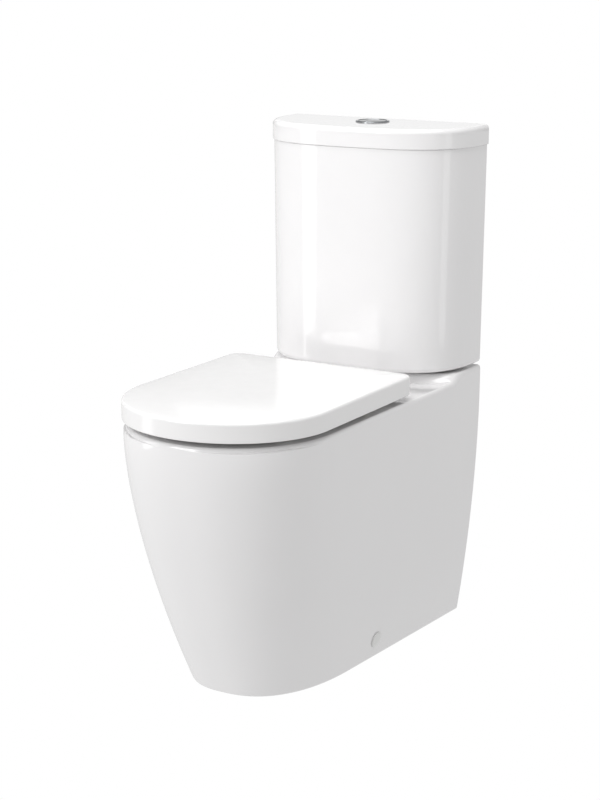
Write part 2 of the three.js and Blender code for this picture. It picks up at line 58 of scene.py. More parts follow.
MM = 0.001
GAP = 0.3
WALL_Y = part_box("pan")[1].y
PAN_TOP_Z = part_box("pan")[1].z / MM
TANK_LOW_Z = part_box("cistern")[0].z / MM
TANK_HIGH_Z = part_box("cistern")[1].z / MM
TANK_LID_LOW_Z = TANK_HIGH_Z + GAP
TANK_LID_HIGH_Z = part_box("cistern_lid")[1].z / MM
SEAT_LID_LOW_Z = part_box("seat_lid")[0].z / MM
SEAT_LID_HIGH_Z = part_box("seat_lid")[1].z / MM
RING_LOW_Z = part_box("seat_ring")[0].z / MM
BUTTON_TOP_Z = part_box("full_flush_button")[1].z / MM
BEZEL_LOW_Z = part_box("button_bezel")[0].z / MM
BEZEL_TOP_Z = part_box("button_bezel")[1].z / MM

RIM_Z = 420.0
SLAB_Z = 400.0
SKIRT_WALL = 14.0
EDGE_WIDTH, EDGE_DROP = 6.0, 7.0
LIP_GROWTH, LIP_START_Z = 8.0, 408.0

# The platform's slope starts SLOPE_START outside its outline and is SLOPE_WIDTH wide.
PLATFORM_HALF_WIDTH, PLATFORM_NOSE, PLATFORM_CENTRE, PLATFORM_POWER = 190.0, 126.0, 5.0, 2.8
SLOPE_START, SLOPE_WIDTH = 12.0, 20.0

TANK_FLOOR_Z = TANK_LOW_Z + 14.0
TANK_WALL = 10.0
TANK_LID_PLATE_Z = 818.0
TANK_LID_EDGE_DROP, TANK_LID_EDGE_WIDTH = 8.0, 8.6
TANK_LIP_Z = 790.0

SEAT_PLATE_Z = 455.5
SEAT_EDGE_LOW_Z, SEAT_EDGE_HIGH_Z, SEAT_EDGE_WIDTH = 454.4, 459.0, 4.6
RING_TOP_Z, RING_EDGE_Z, MOUTH_EDGE_Z = 447.0, 440.0, 438.0
MOUTH_HALF_WIDTH, MOUTH_HALF_LENGTH, MOUTH_CENTRE = 108.0, 150.0, 444.0

HINGE_X, HINGE_DEPTH, HINGE_Z = 77.5, 232.0, 445.0
BARREL_RADIUS, PIN_BORE, DAMPER_BORE = 8.5, 4.85, 6.85
PILLAR_HALF_WIDTH, PILLAR_HALF_DEPTH = 12.0, 8.0
PILLAR_FOOT_RADIUS, PILLAR_FOOT_Z, HINGE_BOLT_HOLE = 18.0, 423.0, 4.35

# Spans along x on the right, which are mirrored on the left.
LID_BARREL, LID_SLOT, RING_ARM = (91.0, 138.0), (49.0, 90.6), (50.0, 64.8)
PIN_SPAN, DAMPER_SPAN = (90.0, 139.0), (106.2, 139.0)

VALVE_DEPTH, VALVE_HOLE = 58.0, 30.0
FILL_X, FILL_DEPTH, FILL_HOLE = -118.0, 78.0, 11.0
BOLT_X, BOLT_HOLE = 80.0, 5.5
BUTTON_RADIUS, BUTTON_SPLIT_X, BUTTON_HALF_GAP = 22.6, -4.0, 0.35
BUTTON_HOLE = 25.8
BEZEL_BORE, BEZEL_NECK, BEZEL_FLANGE = 23.1, 25.4, 27.8
PUSH_ROD_RADIUS, PUSH_ROD_LOW_Z, FULL_ROD_X, HALF_ROD_X = 2.5, 745.0, 10.0, -13.0

BRACKET_DEPTH, BRACKET_Z = 276.0, 31.0
CAP_RADIUS = 13.0
TRAP_RADIUS, TRAP_WALL = 36.0, 12.0
CHANNEL_RADIUS, CHANNEL_WALL = 20.0, 11.0

SIDES = ((-1, "left"), (1, "right"))


def place(points):
    """(x, depth, z) in millimetres to the frame, in metres."""
    points = np.asarray(points, float)
    return np.stack([points[:, 0] * MM, WALL_Y - points[:, 1] * MM, points[:, 2] * MM], axis=1)


# ---- Outlines -----------------------------------------------------------------------------

# Half an outline runs round its back corner, along its side and round its nose to the tip. The side's
# points are closer together at the back, beside the cistern's platform.
CORNER_SHARE = np.linspace(0, 1, 9)
SIDE_SHARE = np.concatenate([np.linspace(0, 0.3, 64), np.linspace(0.3, 1, 40)[1:-1]])[1:]
NOSE_SHARE = np.linspace(0, 1, 73)
CORNER, SIDE, NOSE = 0, 1, 2
KIND = np.repeat([CORNER, SIDE, NOSE], [len(CORNER_SHARE), len(SIDE_SHARE), len(NOSE_SHARE)])
SHARE = np.concatenate([CORNER_SHARE, SIDE_SHARE, NOSE_SHARE])


def half_ring(shape_at, z, inset=0.0):
    """Right half of the outline shape_at(z), drawn in by inset; z may differ from point to point."""
    z = np.broadcast_to(np.asarray(z, float), SHARE.shape)
    shape = {"taper": 0.0, "back": 0.0, "corner": 2.0, "back_inset": 0.0, **shape_at(z)}
    width = shape["half_width"] - inset
    start = shape["back"] + shape["back_inset"] * inset
    centre = shape["depth"] - shape["nose"]
    turn = max(shape["corner"] - inset, 0.5)
    angle = SHARE * math.pi / 2
    reach = 2 / shape["power"]
    nose = shape["nose"] - inset
    x = np.select(
        [KIND == CORNER, KIND == SIDE],
        [width - turn + turn * np.sin(angle), width + 0 * angle],
        width * np.abs(np.cos(angle)) ** reach,
    )
    x[-1] = 0.0
    d = np.select(
        [KIND == CORNER, KIND == SIDE],
        [start + turn - turn * np.cos(angle), start + turn + (centre - start - turn) * SHARE],
        centre + nose * np.sin(angle) ** reach,
    )
    return np.stack([x * (1 - shape["taper"] * d / shape["depth"]), d, z], axis=1)


def whole(half):
    """The closed outline, counterclockwise from above, from its right half."""
    return np.concatenate([half * [-1, 1, 1], half[-2::-1]])


def family(shape_at, levels):
    """Whole outlines at levels given as (z, inset)."""
    return [whole(half_ring(shape_at, z, inset)) for z, inset in levels]


def oval(z, half_width, half_length, centre, power=2.15, count=144):
    angle = np.linspace(0, 2 * math.pi, count, endpoint=False)
    c, s = np.cos(angle), np.sin(angle)
    x = half_width * np.sign(c) * np.abs(c) ** (2 / power)
    d = centre - half_length * np.sign(s) * np.abs(s) ** (2 / power)
    return np.stack([x, d, np.full(count, float(z))], axis=1)


def quarter(z0, inset0, z1, inset1, upright_first=True, steps=8):
    """Levels of a quarter ellipse between two (z, inset) pairs, which leaves upright if upright_first."""
    angles = np.linspace(0, math.pi / 2, steps + 1)
    rise, turn = (np.sin(angles), 1 - np.cos(angles))
    if not upright_first:
        rise, turn = turn, rise
    return [(z0 + (z1 - z0) * r, inset0 + (inset1 - inset0) * t) for r, t in zip(rise, turn)]


def pan_shape(z):
    drop = np.clip((RIM_Z - z) / RIM_Z, 0, None)
    return {
        "half_width": 176.1 - 34.5 * drop**1.925,
        "depth": 645.5 - 121.8 * drop**1.624,
        "nose": 160.6 + 22.8 * drop**1.274,
        "power": 2.03 + 0.466 * drop**0.273,
        "taper": 0.083 + 0.13 * drop,
    }


def tank_shape(z):
    rise = (z - TANK_LOW_Z) / (TANK_HIGH_Z - TANK_LOW_Z)
    return {"half_width": 175.2 + 4.7 * rise, "depth": 156.0, "nose": 148.0, "power": 2.82, "corner": 3.0}


def tank_inner_shape(z):
    return {**tank_shape(z), "nose": 126.0, "back_inset": 1.0, "corner": 24.0}


def tank_lid_shape(z):
    return {"half_width": 182.5, "depth": 157.5, "nose": 149.5, "power": 2.82, "corner": 3.0}


def tank_lip_shape(z):
    return {**tank_lid_shape(z), "nose": 127.5, "back_inset": 1.0, "corner": 20.0}


def seat_shape(z):
    return {"half_width": 166.4, "depth": 650.0, "nose": 156.7, "power": 2.03, "back": 221.0,
            "corner": 22.0, "back_inset": 1.0}


def ring_shape(z):
    return {"half_width": 160.0, "depth": 643.5, "nose": 150.0, "power": 2.03, "back": 250.0,
            "corner": 20.0, "back_inset": 1.0}


# Bowl sections from the sump to the rim: z, half width, half length, centre depth.
BOWL = np.array([
    [84, 33, 34, 376],
    [96, 41, 44, 378],
    [150, 47, 52, 384],
    [195, 56, 74, 396],
    [240, 79, 106, 412],
    [290, 101, 136, 426],
    [345, 116, 157, 434],
    [400, 121, 163, 437],
], float)
BOWL_WALL = 12.0

TRAP = np.array([
    [372, 122], [335, 119], [302, 134], [284, 162], [276, 193], [260, 220], [233, 236],
    [202, 236], [176, 222], [150, 203], [115, 189], [80, 185], [20, 185],
], float)

FLUSH_CHANNEL = np.array([
    [VALVE_DEPTH, 412], [VALVE_DEPTH + 2, 392], [85, 375], [130, 371], [200, 372], [262, 380], [292, 383],
], float)


# ---- Mesh making --------------------------------------------------------------------------


def make(name, vertices, faces):
    mesh = bpy.data.meshes.new(name)
    mesh.from_pydata([tuple(v) for v in vertices], [], faces)
    mesh.validate()
    obj = bpy.data.objects.new(name, mesh)
    bpy.context.scene.collection.objects.link(obj)
    return obj


def strips(count, ring, other, closed=True):
    """Quads between two rings of vertex numbers."""
    last = count if closed else count - 1
    return [
        (ring + i, ring + (i + 1) % count, other + (i + 1) % count, other + i)
        for i in range(last)
    ]


def loft(name, rings):
    """A closed skin over a run of outlines with equal numbers of points, with a flat face at each end."""
    count = len(rings[0])
    faces = [tuple(reversed(range(count)))]
    for level in range(len(rings) - 1):
        faces += strips(count, level * count, (level + 1) * count)
    top = (len(rings) - 1) * count
    faces.append(tuple(range(top, top + count)))
    return make(name, place(np.concatenate(rings)), faces)


def rounded(profile, radius, steps=4):
    """A closed (radius, z) profile with its corners off the axis rounded."""
    points = [Vector(p) for p in profile]
    out = []
    for i, here in enumerate(points):
        before, after = points[i - 1] - here, points[(i + 1) % len(points)] - here
        room = min(radius, before.length * 0.45, after.length * 0.45)
        turn = before.angle(after, math.pi) if before.length and after.length else math.pi
        if here.x < 1e-6 or turn > math.radians(170) or room < 1e-4:
            out.append(here)
            continue
        a, b = here + before.normalized() * room, here + after.normalized() * room
        for k in range(steps + 1):
            t = k / steps
            out.append(a * (1 - t) ** 2 + here * 2 * t * (1 - t) + b * t * t)
    return [tuple(p) for p in out]


def turned(name, profile, x=0.0, depth=0.0, radius=0.6, segments=64):
    """A turned piece about an upright axis, from its (radius, z) profile with corners of this radius."""
    points = rounded(profile, radius) if radius else [tuple(p) for p in profile]
    angles = np.linspace(0, 2 * math.pi, segments, endpoint=False)
    vertices, rows = [], []
    for r, z in points:
        first = len(vertices)
        if r < 1e-6:
            vertices.append((x, depth, z))
            rows.append([first] * segments)
            continue
        vertices += [(x + r * math.cos(a), depth - r * math.sin(a), z) for a in angles]
        rows.append(list(range(first, first + segments)))
    faces = []
    for row, following in zip(rows, rows[1:] + rows[:1]):
        for i in range(segments):
            j = (i + 1) % segments
            corners = dict.fromkeys([row[i], row[j], following[j], following[i]])
            if len(corners) > 2:
                faces.append(tuple(corners))
    return outward(make(name, place(vertices), faces))


def outward(obj):
    """Turns the faces of a closed mesh outwards."""
    bm = bmesh.new()
    bm.from_mesh(obj.data)
    bmesh.ops.recalc_face_normals(bm, faces=bm.faces)
    bm.to_mesh(obj.data)
    bm.free()
    return obj


def rod(name, radius, low, high, axis="Z", x=0.0, depth=0.0, z=0.0, segments=64):
    """A round bar from low to high along one axis; depth or x or z gives where its axis lies."""
    profile = [(0, low), (radius, low), (radius, high), (0, high)]
    piece = turned(name, profile, radius=0.0, segments=segments)
    turn = {
        "Z": Matrix.Identity(4),
        "X": Matrix.Rotation(math.pi / 2, 4, "Y"),
        "Y": Matrix.Rotation(-math.pi / 2, 4, "X"),
    }[axis]
    to_axis = Matrix.Translation((0, WALL_Y, 0))
    shift = Matrix.Translation((x * MM, WALL_Y - depth * MM, z * MM))
    piece.data.transform(shift @ turn @ to_axis.inverted())
    return piece


def block(name, x, depth, z):
    corners = [(a, b, c) for c in z for b in depth for a in x]
    faces = [(0, 1, 3, 2), (4, 6, 7, 5), (0, 4, 5, 1), (2, 3, 7, 6), (0, 2, 6, 4), (1, 5, 7, 3)]
    return outward(make(name, place(corners), faces))


def combine(obj, operation, *tools):
    """Joins tools to obj or cuts them from it, and removes them."""
    for tool in tools:
        modifier = obj.modifiers.new("combine", "BOOLEAN")
        modifier.operation = operation
        modifier.solver = "MANIFOLD"
        modifier.object = tool
        bpy.context.view_layer.update()
        graph = bpy.context.evaluated_depsgraph_get()
        mesh = bpy.data.meshes.new_from_object(obj.evaluated_get(graph))
        obj.modifiers.clear()
        obj.data = mesh
        bpy.data.objects.remove(tool)
    return obj


def cut(obj, *tools):
    return combine(obj, "DIFFERENCE", *tools)


def join(obj, *tools):
    return combine(obj, "UNION", *tools)


def smooth(knots, values, at):
    """Smooth curve through the knots, evaluated at each place in at."""
    slopes = np.gradient(values, knots, axis=0)
    at = np.asarray(at, float)
    i = np.clip(np.searchsorted(knots, at) - 1, 0, len(knots) - 2)
    step = knots[i + 1] - knots[i]
    t = ((at - knots[i]) / step)[:, None]
    step = step[:, None]
    return (
        (2 * t**3 - 3 * t**2 + 1) * values[i]
        + (t**3 - 2 * t**2 + t) * step * slopes[i]
        + (3 * t**2 - 2 * t**3) * values[i + 1]
        + (t**3 - t**2) * step * slopes[i + 1]
    )


def tube(name, path, radius, steps=96, sides=48):
    """A round bar along a smooth path in the plane x = 0, through (depth, z) points."""
    lengths = np.concatenate([[0], np.cumsum(np.linalg.norm(np.diff(path, axis=0), axis=1))])
    places = np.linspace(0, lengths[-1], steps + 1)
    line = smooth(lengths, path, places)
    along = np.gradient(line, places, axis=0)
    along /= np.linalg.norm(along, axis=1)[:, None]
    across = np.stack([-along[:, 1], along[:, 0]], axis=1)
    angles = np.linspace(0, 2 * math.pi, sides, endpoint=False)
    rings = []
    for centre, side in zip(line, across):
        d = centre[0] + radius * np.sin(angles) * side[0]
        z = centre[1] + radius * np.sin(angles) * side[1]
        rings.append(np.stack([radius * np.cos(angles), d, z], axis=1))
    return outward(loft(name, rings))


def soften(obj, sharp_deg):
    """Smooth shading that keeps real corners sharp, on any mesh."""
    bm = bmesh.new()
    bm.from_mesh(obj.data)
    for face in bm.faces:
        face.smooth = True
    limit = math.radians(sharp_deg)
    for edge in bm.edges:
        edge.smooth = len(edge.link_faces) == 2 and edge.calc_face_angle(0.0) < limit
    bm.to_mesh(obj.data)
    bm.free()
    normals = obj.modifiers.new("flat faces stay flat", "WEIGHTED_NORMAL")
    normals.keep_sharp = True


# ---- Materials ----------------------------------------------------------------------------


def grain(nodes, links, coords, scale, low, high, stretch):
    """A value that drifts between low and high over the surface."""
    mapping = nodes.new("ShaderNodeMapping")
    mapping.inputs["Scale"].default_value = stretch
    links.new(coords, mapping.inputs["Vector"])
    noise = nodes.new("ShaderNodeTexNoise")
    noise.inputs["Scale"].default_value = scale
    noise.inputs["Detail"].default_value = 3.0
    links.new(mapping.outputs["Vector"], noise.inputs["Vector"])
    span = nodes.new("ShaderNodeMapRange")
    span.inputs["From Min"].default_value = 0.3
    span.inputs["From Max"].default_value = 0.7
    span.inputs["To Min"].default_value = low
    span.inputs["To Max"].default_value = high
    links.new(noise.outputs["Fac"], span.inputs["Value"])
    return span.outputs["Result"]


def surface(name, colour, shift, rough, bump, scale, metallic=0.0, coat=0.0, stretch=(1, 1, 1),
            subsurface=0.0):
    """A procedural finish: colour drifts by shift, roughness between two values, over a fine bump."""
    material = bpy.data.materials.new(name)
    material.use_nodes = True
    nodes, links = material.node_tree.nodes, material.node_tree.links
    shader = nodes["Principled BSDF"]
    coords = nodes.new("ShaderNodeTexCoord").outputs["Object"]
    mix = nodes.new("ShaderNodeMix")
    mix.data_type = "RGBA"
    darker = [c * (1 - shift) for c in colour]
    mix.inputs["A"].default_value = (*darker, 1)
    mix.inputs["B"].default_value = (*colour, 1)
    links.new(grain(nodes, links, coords, scale, 0.0, 1.0, stretch), mix.inputs["Factor"])
    links.new(mix.outputs["Result"], shader.inputs["Base Color"])
    links.new(grain(nodes, links, coords, scale * 3.1, rough[0], rough[1], stretch),
              shader.inputs["Roughness"])
    shader.inputs["Metallic"].default_value = metallic
    shader.inputs["Coat Weight"].default_value = coat
    shader.inputs["Coat Roughness"].default_value = 0.03
    shader.inputs["Subsurface Weight"].default_value = subsurface
    shader.inputs["Subsurface Scale"].default_value = 0.004
    fineness, strength = bump
    relief = nodes.new("ShaderNodeBump")
    relief.inputs["Strength"].default_value = strength
    relief.inputs["Distance"].default_value = 0.0002
    links.new(grain(nodes, links, coords, fineness, 0.0, 1.0, stretch), relief.inputs["Height"])
    links.new(relief.outputs["Normal"], shader.inputs["Normal"])
    return material


LOOKS = {
    "ceramic": surface("white glaze", (0.865, 0.857, 0.86), 0.012, (0.03, 0.05),
                       bump=(160.0, 0.12), scale=9.0, coat=0.6),
    "seat_plastic": surface("white moulded plastic", (0.873, 0.867, 0.866), 0.01, (0.12, 0.19),
                            bump=(420.0, 0.10), scale=16.0, coat=0.2),
    "cap_plastic": surface("white cap plastic", (0.82, 0.82, 0.81), 0.02, (0.18, 0.28), bump=(500.0, 0.1),
                           scale=60.0),
    # Chrome's colour is set darker than real chrome: painted shade that stands in for the dark
    # surroundings its mirror finish reflects.
    "chrome": surface("chrome darkened as painted reflection", (0.36, 0.37, 0.38), 0.05, (0.06, 0.14), metallic=1.0,
                      bump=(700.0, 0.03), scale=60.0),
    "steel": surface("zinc plated steel", (0.58, 0.59, 0.6), 0.18, (0.25, 0.42), metallic=1.0,
                     bump=(900.0, 0.25), scale=90.0, stretch=(1, 1, 0.15)),
    "brass": surface("plain brass", (0.62, 0.44, 0.17), 0.25, (0.24, 0.4), metallic=1.0,
                     bump=(900.0, 0.2), scale=120.0),
    "valve_white": surface("white valve plastic", (0.74, 0.75, 0.72), 0.05, (0.38, 0.5), bump=(900.0, 0.2),
                           scale=40.0, subsurface=0.1),
    "valve_grey": surface("grey valve plastic", (0.2, 0.215, 0.23), 0.12, (0.42, 0.55), bump=(900.0, 0.25),
                          scale=50.0),
    "valve_blue": surface("blue valve plastic", (0.045, 0.155, 0.33), 0.1, (0.38, 0.5), bump=(900.0, 0.2),
                          scale=50.0),
    "rubber": surface("black rubber", (0.012, 0.012, 0.013), 0.3, (0.6, 0.8),
                      bump=(1200.0, 0.4), scale=80.0),
    "clear_rubber": surface("translucent rubber", (0.66, 0.66, 0.62), 0.06, (0.4, 0.55), bump=(900.0, 0.2),
                            scale=80.0, subsurface=0.4),
}

SLOT_OF = {row["node"]: row["material_slot"] for row in frame["record"]["subparts"]}
BODY_OF = {node: body for body, nodes in frame["record"]["behaviour"]["bodies"].items() for node in nodes}


def finish_piece(obj, body, node, sharp_deg=38.0):
    """Shades a new piece, gives it its finish, and stands it for one CAD node of a body."""
    soften(obj, sharp_deg)
    slot = SLOT_OF[node]
    obj.data.materials.clear()
    obj.data.materials.append(LOOKS[slot])
    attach(obj, body)
    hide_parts(node)


# ---- Pan ----------------------------------------------------------------------------------


def deck_height(x, d):
    """Top of the pan: a flat deck, and the cistern's platform, which rises from it in a soft S."""
    ahead = d - PLATFORM_CENTRE
    across = (np.abs(x) / PLATFORM_HALF_WIDTH) ** PLATFORM_POWER
    along = (np.clip(ahead, 0, None) / PLATFORM_NOSE) ** PLATFORM_POWER
    outside = ((across + along) ** (1 / PLATFORM_POWER) - 1) * np.hypot(x, ahead)
    share = np.clip((SLOPE_START - outside) / SLOPE_WIDTH, 0, 1)
    return RIM_Z + (PAN_TOP_Z - RIM_Z) * share**2 * (3 - 2 * share)


def pan_body():
    """The closed outer form: skirt, rounded top edge, and a deck that rises to the platform."""
    rim = half_ring(pan_shape, RIM_Z)
    wall_top = deck_height(rim[:, 0], rim[:, 1]) - EDGE_DROP
    halves = [half_ring(pan_shape, 0.0, 2.0), half_ring(pan_shape, 1.0, 0.6), half_ring(pan_shape, 3.0)]
    halves += [half_ring(pan_shape, 3 + (wall_top - 3) * share) for share in np.linspace(0, 1, 49)[1:]]
    for angle in np.linspace(0, math.pi / 2, 13)[1:]:
        half = half_ring(pan_shape, RIM_Z, EDGE_WIDTH * (1 - math.cos(angle)))
        half[:, 2] = deck_height(half[:, 0], half[:, 1]) - EDGE_DROP * (1 - math.sin(angle))
        halves.append(half)
    rings = [whole(half) for half in halves]
    count, levels = len(rings[0]), len(rings)
    vertices = list(np.concatenate(rings))
    top = (levels - 1) * count
    faces = [tuple(reversed(range(count)))]
    for level in range(levels - 1):
        faces += strips(count, level * count, (level + 1) * count, closed=False)
    rows = len(halves[-1])
    columns = 96
    grid = []
    for i in range(rows - 1):
        left, right = top + i, top + count - 1 - i
        x, d, _ = halves[-1][i]
        inner_x = np.linspace(-x, x, columns + 1)[1:-1]
        first = len(vertices)
        vertices += [(u, d, deck_height(u, d)) for u in inner_x]
        grid.append([left, *range(first, first + columns - 1), right])
    for row, following in zip(grid, grid[1:]):
        faces += [(row[k], following[k], following[k + 1], row[k + 1]) for k in range(columns)]
    tip = top + rows - 1
    faces += [(grid[-1][k], tip, grid[-1][k + 1]) for k in range(columns)]
    left_side = [level * count for level in range(levels)]
    right_side = [level * count + count - 1 for level in reversed(range(levels))]
    faces.append(tuple(left_side + grid[0][1:-1] + right_side))
    return outward(make("pan_surface", place(vertices), faces))


def bowl_form(name, extra, low, high, lip=False):
    """The bowl's form, grown by extra, between two heights, with a rounded lip or a plain top."""
    heights = np.linspace(low, high, 48)
    sections = smooth(BOWL[:, 0], BOWL[:, 1:], heights)
    rings = [oval(z, w + extra, l + extra, c) for z, (w, l, c) in zip(heights, sections)]
    if lip:
        w, l, c = sections[-1]
        last = math.radians(80)
        for angle in np.linspace(0, last, 9)[1:]:
            grow = LIP_GROWTH * (1 - math.cos(angle)) / (1 - math.cos(last))
            z = high + (RIM_Z + 0.2 - high) * math.sin(angle) / math.sin(last)
            rings.append(oval(z, w + grow, l + grow, c))
        rings.append(oval(RIM_Z + 12, w + LIP_GROWTH + 0.2, l + LIP_GROWTH + 0.2, c))
    return outward(loft(name, rings))


def open_back_shape(z):
    """The pan's outline, run on past the wall."""
    return {**pan_shape(z), "back": -20.0}


def make_pan():
    levels = [(z, SKIRT_WALL) for z in np.linspace(-5, SLAB_Z, 24)]
    hollow = loft("hollow", family(open_back_shape, levels))
    pan = cut(pan_body(), hollow)
    join(pan, bowl_form("bowl_wall", BOWL_WALL, BOWL[0, 0] - 4, SLAB_Z + 5),
         tube("trap_wall", TRAP, TRAP_RADIUS + TRAP_WALL),
         tube("channel_wall", FLUSH_CHANNEL, CHANNEL_RADIUS + CHANNEL_WALL))
    mouth = np.concatenate([[[392, 130]], TRAP, [[-10, 185]]])
    port = np.concatenate([FLUSH_CHANNEL, [[320, 384]]])
    cut(pan, bowl_form("bowl", 0.0, BOWL[0, 0], LIP_START_Z, lip=True),
        tube("trap", mouth, TRAP_RADIUS), tube("channel", port, CHANNEL_RADIUS))
    finish_piece(pan, "fixed", "pan")


# ---- Cistern and its lid ------------------------------------------------------------------


def make_tank():
    outer = quarter(TANK_LOW_Z, 8, TANK_LOW_Z + 9, 0, upright_first=False)
    outer += [(z, 0) for z in np.linspace(TANK_LOW_Z + 9, TANK_HIGH_Z - 1, 16)[1:]]
    outer += quarter(TANK_HIGH_Z - 1, 0, TANK_HIGH_Z, 1, steps=3)[1:]
    inner = [(TANK_HIGH_Z, TANK_WALL)]
    inner += [(z, TANK_WALL) for z in np.linspace(TANK_LIP_Z, TANK_FLOOR_Z + 8, 8)]
    inner += quarter(TANK_FLOOR_Z + 8, TANK_WALL, TANK_FLOOR_Z, TANK_WALL + 7)[1:]
    tank = loft("cistern_surface", family(tank_shape, outer) + family(tank_inner_shape, inner))
    holes = [(VALVE_HOLE, 0.0, VALVE_DEPTH), (FILL_HOLE, FILL_X, FILL_DEPTH)]
    holes += [(BOLT_HOLE, side * BOLT_X, VALVE_DEPTH) for side, _ in SIDES]
    below, above = TANK_LOW_Z - 7, TANK_FLOOR_Z + 9
    cut(tank, *[rod("hole", radius, below, above, x=x, depth=depth) for radius, x, depth in holes])
    finish_piece(tank, "fixed", "cistern")


def make_tank_lid():
    low, high, plate = TANK_LID_LOW_Z, TANK_LID_HIGH_Z, TANK_LID_PLATE_Z
    recess = [(plate, 22), *quarter(plate, 22, plate - 3, 19, upright_first=False, steps=4)[1:],
              (TANK_LIP_Z, 19), (TANK_LIP_Z, 15.5), (low, 15)]
    outer = quarter(low, 1.2, low + 1.2, 0, upright_first=False, steps=4)
    edge = high - TANK_LID_EDGE_DROP
    outer += [(z, 0) for z in np.linspace(low + 1.2, edge, 6)[1:]]
    outer += quarter(edge, 0, high, TANK_LID_EDGE_WIDTH, steps=12)[1:]
    lid = loft("cistern_lid_surface", family(tank_lip_shape, recess) + family(tank_lid_shape, outer))
    cut(lid, rod("hole", BUTTON_HOLE, 800, 840, depth=VALVE_DEPTH, segments=128))
    finish_piece(lid, "cistern_lid", "cistern_lid")


# ---- Seat ring and lid --------------------------------------------------------------------


def hinge_bore(x0, x1, radius=PIN_BORE):
    return rod("bore", radius, x0, x1, "X", depth=HINGE_DEPTH, z=HINGE_Z, segments=40)


def both_sides(x0, x1):
    """A span on the right and its mirror image on the left."""
    return (x0, x1), (-x1, -x0)


def make_seat_lid():
    low = SEAT_LID_LOW_Z
    levels = quarter(SEAT_PLATE_Z, 7, SEAT_PLATE_Z - 3, 4, upright_first=False, steps=4)
    levels += [(low, 4), *quarter(low, 1.5, low + 1.5, 0, upright_first=False, steps=4)]
    levels += [(z, 0) for z in np.linspace(low + 1.5, SEAT_EDGE_LOW_Z, 8)[1:]]
    levels += quarter(SEAT_EDGE_LOW_Z, 0, SEAT_EDGE_HIGH_Z, SEAT_EDGE_WIDTH, steps=10)[1:]
    levels += [(459.5, 9), (460.2, 18), (461.2, 36), (462.1, 64), (462.7, 96), (SEAT_LID_HIGH_Z, 132)]
    lid = loft("seat_lid_surface", family(seat_shape, levels))
    for x0, x1 in both_sides(*LID_BARREL):
        join(lid, block("web", (x0, x1), (222, HINGE_DEPTH + 5), (HINGE_Z, SEAT_PLATE_Z + 0.5)),
             rod("boss", BARREL_RADIUS, x0, x1, "X", depth=HINGE_DEPTH, z=HINGE_Z, segments=48))
    for x0, x1 in both_sides(*LID_SLOT):
        cut(lid, block("slot", (x0, x1), (215, 245), (low - 5, SEAT_PLATE_Z - 0.6)))
    for x0, x1 in both_sides(*DAMPER_SPAN):
        cut(lid, hinge_bore(x0, x1, DAMPER_BORE))
    for x0, x1 in both_sides(*PIN_SPAN):
        cut(lid, hinge_bore(x0, x1))
    finish_piece(lid, "seat_lid", "seat_lid")


def make_seat_ring():
    low, high = RING_LOW_Z, RING_TOP_Z
    levels = quarter(low, 2, low + 2, 0, upright_first=False, steps=4)
    levels += quarter(RING_EDGE_Z, 0, high, 8, steps=8)
    ring = loft("seat_ring_surface", family(ring_shape, levels))
    for x0, x1 in both_sides(*RING_ARM):
        join(ring, block("arm", (x0, x1), (HINGE_DEPTH, 262), (HINGE_Z - 7, high - 1.5)),
             rod("boss", BARREL_RADIUS, x0, x1, "X", depth=HINGE_DEPTH, z=HINGE_Z, segments=48))
        cut(ring, hinge_bore(x0 - 1, x1 + 1))
    growth = [(low - 3, 3), (low, 2), (low + 2, 0), *quarter(MOUTH_EDGE_Z, 0, high, 10, steps=8),
              (high + 3, 11)]
    cut(ring, loft("mouth", [oval(z, MOUTH_HALF_WIDTH + grow, MOUTH_HALF_LENGTH + grow, MOUTH_CENTRE)
                             for z, grow in growth]))
    finish_piece(ring, "seat_ring", "seat_ring")


def make_buffers():
    spots = {
        "ring_buffer_front_left": "seat_ring", "ring_buffer_front_right": "seat_ring",
        "ring_buffer_rear_left": "seat_ring", "ring_buffer_rear_right": "seat_ring",
        "lid_buffer_left": "seat_lid", "lid_buffer_right": "seat_lid",
    }
    edge = 1.2
    angles = np.linspace(0, 2 * math.pi, 64, endpoint=False)
    for node, body in spots.items():
        low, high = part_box(node)
        size, middle = (high - low) / MM, (high + low) / 2 / MM
        base, top = low.z / MM, high.z / MM
        levels = quarter(base, edge, base + edge, 0, upright_first=False, steps=3)
        levels += quarter(top - edge, 0, top, edge, steps=3)
        rings = []
        for z, inset in levels:
            radius = size.y / 2 - inset
            spread = (size.x - size.y) / 2
            x = middle.x + radius * np.cos(angles) + spread * np.sign(np.cos(angles).round(6))
            d = (WALL_Y / MM - middle.y) - radius * np.sin(angles)
            rings.append(np.stack([x, d, np.full(len(angles), z)], axis=1))
        finish_piece(loft(node + "_pad", rings), body, node)


# ---- Hinge pillars ------------------------------------------------------------------------


def make_hinge_pillars():
    for side, name in SIDES:
        x = side * HINGE_X
        foot = [(0, RIM_Z + GAP), (PILLAR_FOOT_RADIUS, RIM_Z + GAP), (PILLAR_FOOT_RADIUS, PILLAR_FOOT_Z),
                (16, 424.6), (0, 424.6)]
        pillar = turned(f"hinge_pillar_{name}_surface", foot, x, HINGE_DEPTH, radius=0.8)
        span = (x - PILLAR_HALF_WIDTH, x + PILLAR_HALF_WIDTH)
        neck = block("neck", span, (HINGE_DEPTH - PILLAR_HALF_DEPTH, HINGE_DEPTH + PILLAR_HALF_DEPTH),
                     (PILLAR_FOOT_Z, HINGE_Z))
        head = rod("head", BARREL_RADIUS, *span, "X", depth=HINGE_DEPTH, z=HINGE_Z)
        join(pillar, neck, head)
        cut(pillar, hinge_bore(x - 14, x + 14),
            rod("hole", HINGE_BOLT_HOLE, RIM_Z - 1, 438, x=x, depth=HINGE_DEPTH))
        finish_piece(pillar, "fixed", f"hinge_pillar_{name}", sharp_deg=50)


# ---- Flush buttons ------------------------------------------------------------------------


